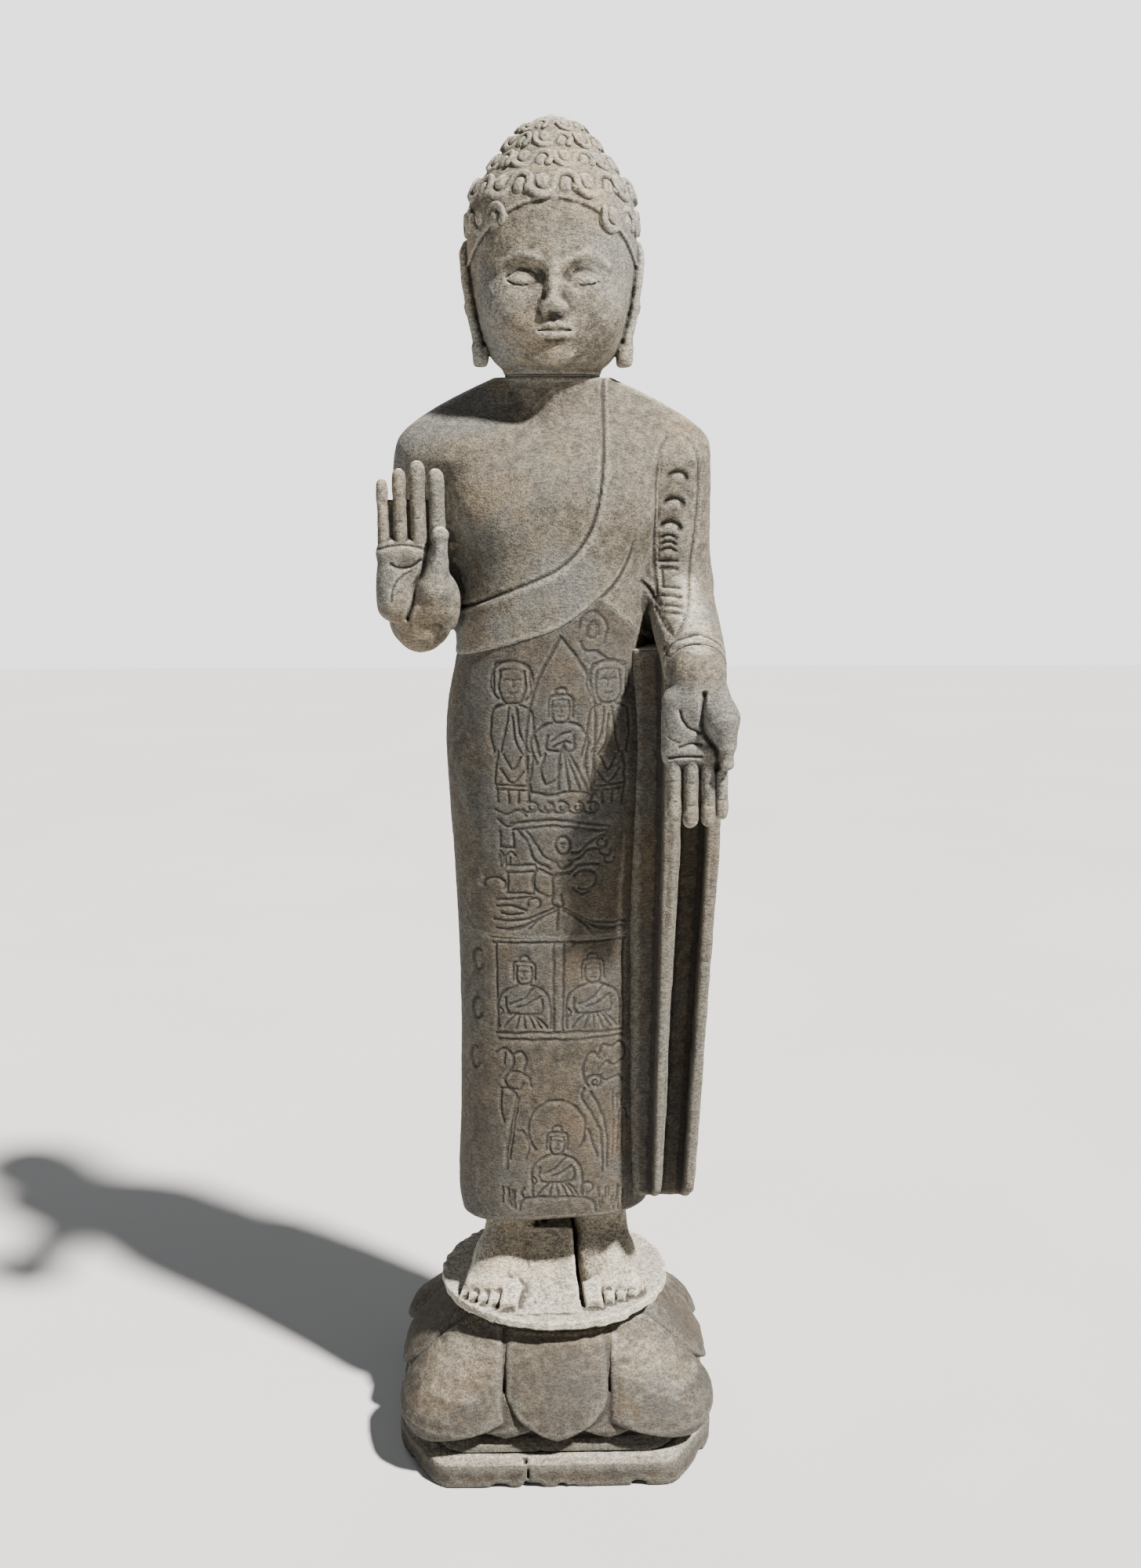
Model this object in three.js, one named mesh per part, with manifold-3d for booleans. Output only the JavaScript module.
// A life-size standing Buddha in carved limestone, built as masons build it: a cut-corner plinth slab, a
// lotus pedestal pinned to it, and a figure whose round tenon drops into the pedestal's socket. The head, the
// raised forearm and the lowered hand are separate stones, each held on a steel dowel in a thin mortar bed.
// Millimetres. +Z is up, the figure faces -Y, its own left is +X, the origin is the middle of the underside.
import * as THREE from "three";
import { mergeVertices } from "three/addons/utils/BufferGeometryUtils.js";
import Module from "manifold-3d";

// ---- Driving dimensions ----
const CROWN_Z = 1880;
const GAP = 0.3; // the space kept between two pieces that touch
const BED = 2.5; // thickness of a mortar bed
const PLINTH = { half: 232, height: 40, bevel: 15, bevelDrop: 8, cutX: 64, cutY: 112 };
const LOTUS = { half: 228, squareness: 4, topZ: 193, topRadius: 140, apron: 19, petals: 8, grooveTopZ: 132 };
const SOCKET = { radius: 59, depth: 92 };
const TENON = { radius: 55, length: 86 };
const PAD = { size: 38, thickness: 3, ringRadius: 98, count: 4 };
const DISC = { radius: 171, topZ: 221, rim: 13, bossRadius: 140 };
const HEM_Z = 340;
const NECK = { halfWidth: 70, halfDepth: 64, centreY: -2, seatZ: 1546 };
const DOWEL = { plinth: 20, neck: 20, forearm: 16, hand: 14 };
const RING_SIDES = 28;

// The trunk from hem to collar: [height, half width, front depth, back depth, squareness].
const TRUNK = [
  [HEM_Z, 140, 116, 110, 2.5],
  [372, 143, 117, 111, 2.5],
  [430, 140, 113, 108, 2.5],
  [500, 138, 111, 106, 2.5],
  [640, 136, 110, 105, 2.5],
  [740, 137, 111, 105, 2.5],
  [860, 142, 114, 107, 2.5],
  [975, 149, 120, 110, 2.4],
  [1065, 151, 124, 111, 2.3],
  [1110, 146, 124, 109, 2.3],
  [1156, 137, 121, 106, 2.3],
  [1200, 131, 118, 104, 2.3],
  [1260, 133, 118, 106, 2.3],
  [1320, 141, 121, 109, 2.3],
  [1380, 157, 118, 111, 2.3],
  [1415, 180, 111, 107, 2.3],
  [1440, 202, 98, 100, 2.3],
  [1461, 208, 85, 94, 2.2],
  [1482, 190, 67, 89, 2.2],
  [1503, 160, 48, 84, 2.1],
  [1524, 120, 36, 78, 2.0],
  [NECK.seatZ - BED - 2 * GAP, 76, 32, 70, 2.0],
];

// The neck column that stands in front of the shoulders' slope, in the same columns.
const NECK_COLUMN = [
  [1420, 60, 50, 50, 2.0],
  [1490, 70, 64, 60, 2.0],
  [NECK.seatZ - BED - 2 * GAP, 70, 64, 64, 2.0],
];

// The head from the neck's seat to the crown: [height, half width, front depth, back depth].
const HEAD = [
  [NECK.seatZ, 69, 60, 66],
  [1553, 70, 66, 68],
  [1560, 75, 86, 74],
  [1573, 87, 104, 86],
  [1600, 99, 112, 98],
  [1640, 107, 115, 107],
  [1690, 113, 115, 113],
  [1730, 115, 113, 116],
  [1765, 112, 105, 112],
  [1790, 102, 94, 102],
  [1812, 84, 77, 85],
  [1835, 65, 59, 64],
  [1855, 48, 44, 47],
  [1870, 30, 28, 30],
  [CROWN_Z, 8, 8, 8],
];

const STONE = { colour: 0x8d8677, roughness: 0.92 };
const MORTAR = { colour: 0xa39c8c, roughness: 0.95 };
const STEEL = { colour: 0xa8abad, roughness: 0.35, metalness: 1 };
const LEAD = { colour: 0x6c7074, roughness: 0.6, metalness: 0.9 };

const wasm = await Module();
wasm.setup();
const statue = new THREE.Group();
const v3 = (x, y, z) => new THREE.Vector3(x, y, z);

// ---- Solids ----
// A closed geometry as a solid that can be joined and cut.
function solid(geometry) {
  const bare = geometry.clone();
  bare.deleteAttribute("normal");
  bare.deleteAttribute("uv");
  const merged = mergeVertices(bare, 1e-4);
  return new wasm.Manifold(
    new wasm.Mesh({
      numProp: 3,
      vertProperties: merged.attributes.position.array,
      triVerts: new Uint32Array(merged.index.array),
    }),
  );
}

// A solid as a mesh of the statue.
function piece(name, body, finish) {
  const mesh = body.getMesh();
  const geometry = new THREE.BufferGeometry()
    .setAttribute("position", new THREE.BufferAttribute(mesh.vertProperties, 3))
    .setIndex(new THREE.BufferAttribute(mesh.triVerts, 1));
  geometry.computeVertexNormals();
  const material = new THREE.MeshStandardMaterial({
    color: finish.colour,
    roughness: finish.roughness,
    metalness: finish.metalness ?? 0,
  });
  const made = new THREE.Mesh(geometry, material);
  made.name = name;
  statue.add(made);
  return body;
}

const joined = (...bodies) => bodies.reduce((all, next) => all.add(next));

// One ring of a loft: a superellipse on the axes u and v about a centre. backV replaces v on the far side.
function ring(centre, u, v, squareness = 2, sides = RING_SIDES, backV = v) {
  return Array.from({ length: sides }, (_, i) => {
    const turn = (2 * Math.PI * i) / sides;
    const c = Math.cos(turn);
    const s = Math.sin(turn);
    const along = Math.sign(c) * Math.abs(c) ** (2 / squareness);
    const across = Math.abs(s) ** (2 / squareness);
    return centre
      .clone()
      .addScaledVector(u, along)
      .addScaledVector(s < 0 ? backV : v, s < 0 ? -across : across);
  });
}

// A closed skin over rings of equal length; u x v of each ring points along the loft.
function loft(rings) {
  const sides = rings[0].length;
  const points = rings.flat();
  const faces = [];
  for (let r = 0; r + 1 < rings.length; r++) {
    for (let i = 0; i < sides; i++) {
      const j = (i + 1) % sides;
      const [a, b, c, d] = [r * sides + i, r * sides + j, (r + 1) * sides + j, (r + 1) * sides + i];
      faces.push(a, b, c, a, c, d);
    }
  }
  for (const [first, flip] of [[0, true], [(rings.length - 1) * sides, false]]) {
    const middle = points.slice(first, first + sides).reduce((sum, p) => sum.add(p), v3(0, 0, 0));
    points.push(middle.divideScalar(sides));
    for (let i = 0; i < sides; i++) {
      const [a, b] = [first + i, first + ((i + 1) % sides)];
      faces.push(points.length - 1, flip ? b : a, flip ? a : b);
    }
  }
  return solid(new THREE.BufferGeometry().setFromPoints(points).setIndex(faces));
}

// An upright loft through [height, half width, front, back, squareness] rows about (x, y).
function uprightLoft(rows, x, y, sides = RING_SIDES) {
  return loft(
    rows.map(([z, half, front, back, squareness = 2]) =>
      ring(v3(x, y, z), v3(half, 0, 0), v3(0, back, 0), squareness, sides, v3(0, front, 0)),
    ),
  );
}

// A limb through [centre, half width, half height] stations, its rings square to the path and level in x.
function limb(stations, squareness = 2, sides = 16) {
  return loft(
    stations.map(([centre, half, high], i) => {
      const before = stations[Math.max(i - 1, 0)][0];
      const after = stations[Math.min(i + 1, stations.length - 1)][0];
      const along = after.clone().sub(before).normalize();
      const u = v3(1, 0, 0).addScaledVector(along, -along.x).normalize();
      const v = along.clone().cross(u);
      return ring(centre, u.multiplyScalar(half), v.multiplyScalar(high), squareness, sides);
    }),
  );
}

// A rounded finger or toe from root to tip.
function digit(root, tip, radius, sides = 8) {
  const at = (share) => root.clone().lerp(tip, share);
  const length = root.distanceTo(tip);
  const dome = radius / length;
  return limb(
    [
      [at(0), radius, radius],
      [at(0.45), radius * 0.97, radius * 0.97],
      [at(1 - dome), radius * 0.9, radius * 0.9],
      [at(1 - dome * 0.45), radius * 0.72, radius * 0.72],
      [at(1), radius * 0.25, radius * 0.25],
    ],
    2,
    sides,
  );
}

// A round rod between two points.
function rod(from, to, radius, sides = 16) {
  const geometry = new THREE.CylinderGeometry(radius, radius, from.distanceTo(to), sides);
  const turn = new THREE.Quaternion().setFromUnitVectors(v3(0, 1, 0), to.clone().sub(from).normalize());
  geometry.applyQuaternion(turn);
  geometry.translate(...from.clone().add(to).divideScalar(2).toArray());
  return solid(geometry);
}

function block(sizeX, sizeY, sizeZ, x, y, z) {
  const geometry = new THREE.BoxGeometry(sizeX, sizeY, sizeZ);
  geometry.translate(x, y, z);
  return solid(geometry);
}

// ---- Base ----
// The plinth's outline, a square with its corners cut off, moved in by an inset.
function plinthRing(inset, z) {
  const half = PLINTH.half - inset;
  const [nearX, nearY] = [half - PLINTH.cutX + inset * 0.4, half - PLINTH.cutY + inset * 0.4];
  const corners = [[half, nearY], [nearX, half], [-nearX, half], [-half, nearY]];
  const all = [...corners, ...corners.map(([x, y]) => [-x, -y])];
  return all.map(([x, y]) => v3(x, y, z));
}

const plinthDowels = [-1, 1].map((side) => ({
  name: side < 0 ? "plinth_dowel_right" : "plinth_dowel_left",
  from: v3(side * 120, 60, 22),
  to: v3(side * 120, 60, 98),
}));

function makePlinth() {
  const shell = loft([
    plinthRing(3, 0),
    plinthRing(0, 6),
    plinthRing(0, PLINTH.height - PLINTH.bevelDrop),
    plinthRing(PLINTH.bevel, PLINTH.height),
  ]);
  return plinthDowels.reduce(
    (body, dowel) => body.subtract(rod(dowel.from.clone().setZ(20), dowel.to, DOWEL.plinth / 2 + GAP)),
    shell,
  );
}

const lotusBottomZ = PLINTH.height + BED + 2 * GAP;

function makePlinthBed() {
  const from = PLINTH.height + GAP;
  const sheet = loft([plinthRing(34, from), plinthRing(34, from + BED)]);
  return plinthDowels.reduce(
    (body, dowel) => body.subtract(rod(dowel.from, dowel.to, DOWEL.plinth / 2 + GAP)),
    sheet,
  );
}

// The petals' profile from their tips up to the pedestal's top: [height, share of the half width].
const PETAL_PROFILE = [
  [62, 0.9],
  [66, 0.985],
  [80, 1.02],
  [98, 0.99],
  [118, 0.93],
  [140, 0.85],
  [160, 0.765],
  [178, 0.68],
  [LOTUS.topZ, LOTUS.topRadius / LOTUS.half],
];

function makeLotus() {
  const sides = 64;
  const rings = PETAL_PROFILE.map(([z, share]) => {
    const rise = (z - PETAL_PROFILE[0][0]) / (LOTUS.topZ - PETAL_PROFILE[0][0]);
    const squareness = THREE.MathUtils.lerp(LOTUS.squareness, 2, THREE.MathUtils.smoothstep(rise, 0, 1));
    const groove = 11 * (1 - THREE.MathUtils.smoothstep(z, 80, LOTUS.grooveTopZ));
    return Array.from({ length: sides }, (_, i) => {
      const turn = (2 * Math.PI * i) / sides;
      const [c, s] = [Math.abs(Math.cos(turn)), Math.abs(Math.sin(turn))];
      const square = (c ** squareness + s ** squareness) ** (-1 / squareness);
      const valley = Math.abs(Math.sin((LOTUS.petals * turn) / 2)) ** 6;
      const radius = LOTUS.half * share * square - groove * valley;
      return v3(radius * Math.cos(turn), radius * Math.sin(turn), z);
    });
  });
  const apron = loft([
    plinthRing(PLINTH.bevel + 3, lotusBottomZ),
    plinthRing(PLINTH.bevel + 3, lotusBottomZ + 3),
    plinthRing(PLINTH.bevel + 24, lotusBottomZ + LOTUS.apron + 2),
  ]);
  const socketFloor = LOTUS.topZ - SOCKET.depth;
  const cuts = [
    rod(v3(0, 0, socketFloor), v3(0, 0, LOTUS.topZ + 20), SOCKET.radius, 40),
    ...plinthDowels.map((dowel) => rod(dowel.from, dowel.to.clone().setZ(100), DOWEL.plinth / 2 + GAP)),
  ];
  return cuts.reduce((body, cut) => body.subtract(cut), loft(rings).add(apron));
}

function makeBase() {
  piece("plinth", makePlinth(), STONE);
  piece("plinth_bed", makePlinthBed(), MORTAR);
  piece("lotus_pedestal", makeLotus(), STONE);
  for (const dowel of plinthDowels) piece(dowel.name, rod(dowel.from, dowel.to, DOWEL.plinth / 2), STEEL);
  for (let i = 0; i < PAD.count; i++) {
    const turn = (2 * Math.PI * (i + 0.5)) / PAD.count;
    const [x, y] = [PAD.ringRadius * Math.cos(turn), PAD.ringRadius * Math.sin(turn)];
    const z = LOTUS.topZ + GAP + PAD.thickness / 2;
    piece(`lead_pad_${i + 1}`, block(PAD.size, PAD.size, PAD.thickness, x, y, z), LEAD);
  }
}

// ---- Figure ----
const figureFootZ = LOTUS.topZ + PAD.thickness + 2 * GAP;

function makeDisc() {
  const under = DISC.topZ - DISC.rim;
  const profile = [
    [0, figureFootZ - TENON.length],
    [TENON.radius - 4, figureFootZ - TENON.length],
    [TENON.radius, figureFootZ - TENON.length + 4],
    [TENON.radius, figureFootZ],
    [DISC.bossRadius - 4, figureFootZ],
    [DISC.bossRadius, under],
    [DISC.radius - 5, under],
    [DISC.radius, under + 5],
    [DISC.radius - 1, DISC.topZ],
    [0, DISC.topZ],
  ].map(([radius, z]) => new THREE.Vector2(radius, z));
  const turned = new THREE.LatheGeometry(profile, 44);
  turned.rotateX(Math.PI / 2);
  return solid(turned);
}

// One bare foot. Its toes fan out from an ankle at (x, 10) towards a big toe tip at toeX.
function makeFoot({ ankleX, toeX, outward }) {
  const sole = DISC.topZ - 2;
  const station = (y, x, half, high) => [v3(x, y, sole + high / 2), half, high / 2];
  const middle = (share) => THREE.MathUtils.lerp(ankleX, toeX + outward * 33, share);
  const instep = limb(
    [
      station(62, ankleX, 24, 56),
      station(40, ankleX, 33, 96),
      station(-10, middle(0.15), 37, 124),
      station(-45, middle(0.4), 38, 88),
      station(-80, middle(0.7), 40, 54),
      station(-112, middle(0.95), 41, 34),
      station(-124, middle(1), 39, 26),
    ],
    2.6,
    14,
  );
  const ankle = uprightLoft([[sole, 34, 40, 42, 2.4], [HEM_Z + 20, 35, 42, 44, 2.2]], ankleX, 8, 14);
  const toes = [0, 1, 2, 3, 4].map((i) => {
    const width = i ? 13.2 - 0.7 * i : 19;
    const x = toeX + outward * (i ? 11 + 14.2 * i : 8);
    const tipY = -160 + (i ? 1 + 4.5 * i : 0);
    const high = i ? 24 - i : 27;
    const fan = outward * 1.5 * i;
    return limb(
      [
        [v3(x - fan, tipY + 46, sole + high / 2), width / 2, high / 2],
        [v3(x, tipY + 8, sole + high / 2), width / 2, high / 2],
        [v3(x, tipY, sole + high * 0.44), width / 2 - 1.5, high * 0.4],
      ],
      4,
      8,
    );
  });
  return joined(ankle, instep, ...toes);
}

// The stone left standing between the ankles, sloping down to the front.
function makeFootWeb() {
  const width = 62;
  const topZ = HEM_Z + 20 - DISC.topZ;
  const outline = [[-105, 0], [70, 0], [70, topZ], [-30, topZ], [-58, 68]];
  const shape = new THREE.Shape(outline.map(([y, z]) => new THREE.Vector2(y, z)));
  const cut = new THREE.ExtrudeGeometry(shape, { depth: width, bevelEnabled: false });
  cut.rotateX(Math.PI / 2);
  cut.rotateZ(Math.PI / 2);
  cut.translate(-width / 2, 0, DISC.topZ - 1);
  return solid(cut);
}

const ARM_X = 174;
const FOREARM_SEAM_Y = -62;
const RIGHT_ELBOW = v3(-176, 0, 1238);
const LEFT_ELBOW = v3(176, 2, 1255);
const LEFT_CUFF = v3(184, -176, 1166);
const leftForearmAlong = LEFT_CUFF.clone().sub(LEFT_ELBOW).normalize();

function makeUpperArm(side, elbow) {
  const rows = [
    [1474, 150, 16, 22],
    [1466, 158, 32, 40],
    [1450, 167, 43, 54],
    [1425, ARM_X, 50, 62],
    [1390, ARM_X + 1, 50, 64],
    [1330, ARM_X, 46, 60],
    [1280, ARM_X + 1, 45, 56],
  ].map(([z, x, half, deep]) => [v3(side * x, 4, z), half, deep]);
  const low = [[v3(elbow.x, elbow.y, elbow.z), 43, 50], [v3(elbow.x, elbow.y - 6, elbow.z - 40), 30, 34]];
  return limb([...rows, ...low], 2.2, 16);
}

// The seam plane of the raised forearm is square to y; the stub behind it belongs to the body.
function makeRightStub() {
  return limb(
    [
      [RIGHT_ELBOW.clone().setY(40), 30, 34],
      [RIGHT_ELBOW.clone().setY(20), 42, 48],
      [v3(-175, FOREARM_SEAM_Y - 6, 1240), 44, 48],
    ],
    2.2,
    16,
  );
}

function makeLeftForearm() {
  return limb(
    [
      [LEFT_ELBOW.clone().add(v3(0, 44, 6)), 28, 32],
      [LEFT_ELBOW.clone().add(v3(0, 20, 0)), 43, 48],
      [LEFT_ELBOW.clone().lerp(LEFT_CUFF, 0.3), 46, 52],
      [LEFT_ELBOW.clone().lerp(LEFT_CUFF, 0.7), 46, 48],
      [LEFT_CUFF.clone(), 44, 42],
      [LEFT_CUFF.clone().addScaledVector(leftForearmAlong, 6), 44, 42],
    ],
    2.2,
    16,
  );
}

// One upright fold of the hanging sleeve: its left and right edges as shares of the sleeve's width.
function makeFold({ left, right, back, front, chamfer, hemZ }) {
  const section = (z, width) => {
    const [x0, x1] = [left, right].map((share) => 116 + share * width);
    const outline = [[x1 - chamfer, back], [x0, back], [x0, front + chamfer], [x0 + chamfer / 2, front]];
    outline.push([x1 - chamfer, front], [x1, front + chamfer * 1.5], [x1, back - chamfer]);
    return outline.map(([x, y]) => v3(x, y, z));
  };
  return loft([
    section(hemZ, 83), section(420, 87), section(900, 116), section(1060, 116), section(1161, 107),
  ]);
}

// The sleeve that hangs from the left forearm: a slab with two square ribs standing on its front.
function makeHangingSleeve() {
  const slab = makeFold({ left: -0.1, right: 1, back: 62, front: -90, chamfer: 14, hemZ: 377 });
  const inner = makeFold({ left: 0.27, right: 0.46, back: -30, front: -138, chamfer: 5, hemZ: 402 });
  const outer = makeFold({ left: 0.78, right: 0.94, back: -30, front: -139, chamfer: 5, hemZ: 402 });
  return joined(slab, inner, outer);
}

// A block of empty space in front of a seam, square to the limb, to cut a flat joint face with.
const seamCut = (centre, along, start = 0) =>
  rod(centre.clone().addScaledVector(along, start), centre.clone().addScaledVector(along, start + 75), 58);

const rightSeam = v3(-175, FOREARM_SEAM_Y, 1240);
const rightForearmAlong = v3(0, -1, 0);
const neckDowel = { from: v3(0, 0, 1450), to: v3(0, 0, 1640), radius: DOWEL.neck / 2 };
const forearmDowel = { from: v3(-175, -14, 1240), to: v3(-175, -118, 1243), radius: DOWEL.forearm / 2 };
const handDowel = {
  from: LEFT_CUFF.clone().addScaledVector(leftForearmAlong, -62),
  to: LEFT_CUFF.clone().addScaledVector(leftForearmAlong, 26),
  radius: DOWEL.hand / 2,
};
const dowelHole = ({ from, to, radius }) => {
  const spare = to.clone().sub(from).setLength(2);
  return rod(from.clone().sub(spare), to.clone().add(spare), radius + GAP);
};

function makeFigure() {
  const trunk = uprightLoft(TRUNK, 0, 0, 34);
  const body = joined(
    trunk,
    uprightLoft(NECK_COLUMN, 0, NECK.centreY, 30),
    makeUpperArm(-1, RIGHT_ELBOW),
    makeUpperArm(1, LEFT_ELBOW),
    makeRightStub(),
    makeLeftForearm(),
    makeHangingSleeve(),
    makeDisc(),
    makeFoot({ ankleX: -66, toeX: -54, outward: -1 }),
    makeFoot({ ankleX: 70, toeX: 48, outward: 1 }),
    makeFootWeb(),
  );
  const seams = [seamCut(rightSeam, rightForearmAlong), seamCut(LEFT_CUFF, leftForearmAlong)];
  return [...seams, ...[neckDowel, forearmDowel, handDowel].map(dowelHole)].reduce(
    (all, cut) => all.subtract(cut),
    body,
  );
}

function makeEar(side) {
  return limb(
    [
      [v3(side * 116, 8, 1724), 4, 10],
      [v3(side * 119, 6, 1714), 8, 24],
      [v3(side * 120, 2, 1690), 9, 30],
      [v3(side * 116, 0, 1650), 9, 24],
      [v3(side * 110, -4, 1610), 10, 17],
      [v3(side * 101, -6, 1580), 11, 16],
      [v3(side * 98, -8, 1562), 10, 15],
      [v3(side * 98, -8, 1557), 7, 10],
    ],
    2.6,
    10,
  );
}

function makeHead() {
  const skull = uprightLoft(HEAD.map((row) => [...row, 2.1]), 0, NECK.centreY, 30);
  const bridge = [v3(0, -110, 1700), 7, 8];
  const middle = [v3(0, -120, 1664), 10, 12];
  const tip = [v3(0, -126, 1636), 15, 12];
  const nose = limb([bridge, middle, tip], 2, 10);
  return joined(skull, nose, makeEar(-1), makeEar(1)).subtract(dowelHole(neckDowel));
}

// The right forearm comes straight forward from its seam and turns up into an open palm.
function makeRaisedForearm() {
  const palmY = -226;
  const forearm = limb(
    [
      [v3(-175, FOREARM_SEAM_Y, 1240), 44, 48],
      [v3(-175, -120, 1243), 45, 47],
      [v3(-175, -180, 1246), 44, 46],
      [v3(-174, -216, 1248), 41, 43],
      [v3(-173, -234, 1250), 33, 34],
    ],
    2.2,
    16,
  );
  const palm = limb(
    [
      [v3(-174, palmY + 14, 1222), 36, 22],
      [v3(-177, palmY + 6, 1252), 43, 21],
      [v3(-181, palmY, 1290), 45, 18],
      [v3(-183, palmY + 1, 1338), 44, 14],
    ],
    2.8,
    14,
  );
  const thenar = limb(
    [
      [v3(-158, palmY + 2, 1236), 18, 18],
      [v3(-148, palmY - 8, 1272), 20, 19],
      [v3(-141, palmY - 10, 1312), 13, 14],
    ],
    2,
    10,
  );
  const thumb = digit(v3(-143, palmY - 9, 1300), v3(-146, palmY - 12, 1366), 11.5);
  const fingers = [[-217, 1417, 9], [-194, 1433, 10.2], [-169.5, 1440, 10.8], [-147, 1430, 10.3]].map(
    ([x, tipZ, radius]) => digit(v3(x, palmY + 1, 1320), v3(x, palmY + 3, tipZ), radius),
  );
  return joined(forearm, palm, thenar, thumb, ...fingers)
    .subtract(seamCut(rightSeam, rightForearmAlong, BED + 2 * GAP - 75))
    .subtract(dowelHole(forearmDowel));
}

// The left hand hangs from the cuff with its palm to the front and its fingers down.
function makeLoweredHand() {
  const palm = limb(
    [
      [LEFT_CUFF, 41, 39],
      [LEFT_CUFF.clone().addScaledVector(leftForearmAlong, 22), 40, 34],
      [v3(183, -204, 1132), 41, 27],
      [v3(182, -212, 1100), 42, 19],
      [v3(180, -214, 1050), 39, 14],
    ],
    2.6,
    14,
  );
  const thenar = limb(
    [[v3(199, -204, 1146), 20, 20], [v3(208, -222, 1108), 20, 18], [v3(213, -226, 1078), 13, 13]],
    2,
    10,
  );
  const thumb = digit(v3(212, -226, 1092), v3(218, -228, 1040), 11);
  const fingers = [[151, 970, 9], [173, 961, 10], [195, 960, 10.3], [214.5, 972, 9.4]].map(
    ([x, tipZ, radius]) => digit(v3(x, -214, 1066), v3(x + 2, -216, tipZ), radius),
  );
  return joined(palm, thenar, thumb, ...fingers)
    .subtract(seamCut(LEFT_CUFF, leftForearmAlong, BED + 2 * GAP - 75))
    .subtract(dowelHole(handDowel));
}

// A thin mortar bed behind a seam, a little smaller than the stones it joins.
function makeSeamBed(centre, along, wide, high) {
  const at = (distance) => [centre.clone().addScaledVector(along, distance), wide, high];
  return limb([at(GAP), at(GAP + BED)], 2.2, 20);
}

function makeBeds() {
  const [bedHalf, bedFront, bedBack] = [NECK.halfWidth - 5, NECK.halfDepth - 5, NECK.halfDepth - 2];
  const neckBed = uprightLoft(
    [NECK.seatZ - GAP - BED, NECK.seatZ - GAP].map((z) => [z, bedHalf, bedFront, bedBack]),
    0,
    NECK.centreY,
  );
  const forearmBed = makeSeamBed(rightSeam, rightForearmAlong, 41, 45);
  const wristBed = makeSeamBed(LEFT_CUFF, leftForearmAlong, 38, 36);
  piece("neck_bed", neckBed.subtract(dowelHole(neckDowel)), MORTAR);
  piece("forearm_bed", forearmBed.subtract(dowelHole(forearmDowel)), MORTAR);
  piece("wrist_bed", wristBed.subtract(dowelHole(handDowel)), MORTAR);
}

function makeStatue() {
  makeBase();
  piece("figure_block", makeFigure(), STONE);
  piece("head", makeHead(), STONE);
  piece("raised_forearm", makeRaisedForearm(), STONE);
  piece("lowered_hand", makeLoweredHand(), STONE);
  makeBeds();
  const dowels = { neck_dowel: neckDowel, forearm_dowel: forearmDowel, wrist_dowel: handDowel };
  for (const [name, { from, to, radius }] of Object.entries(dowels)) {
    piece(name, rod(from, to, radius), STEEL);
  }
}

makeStatue();
export default statue;
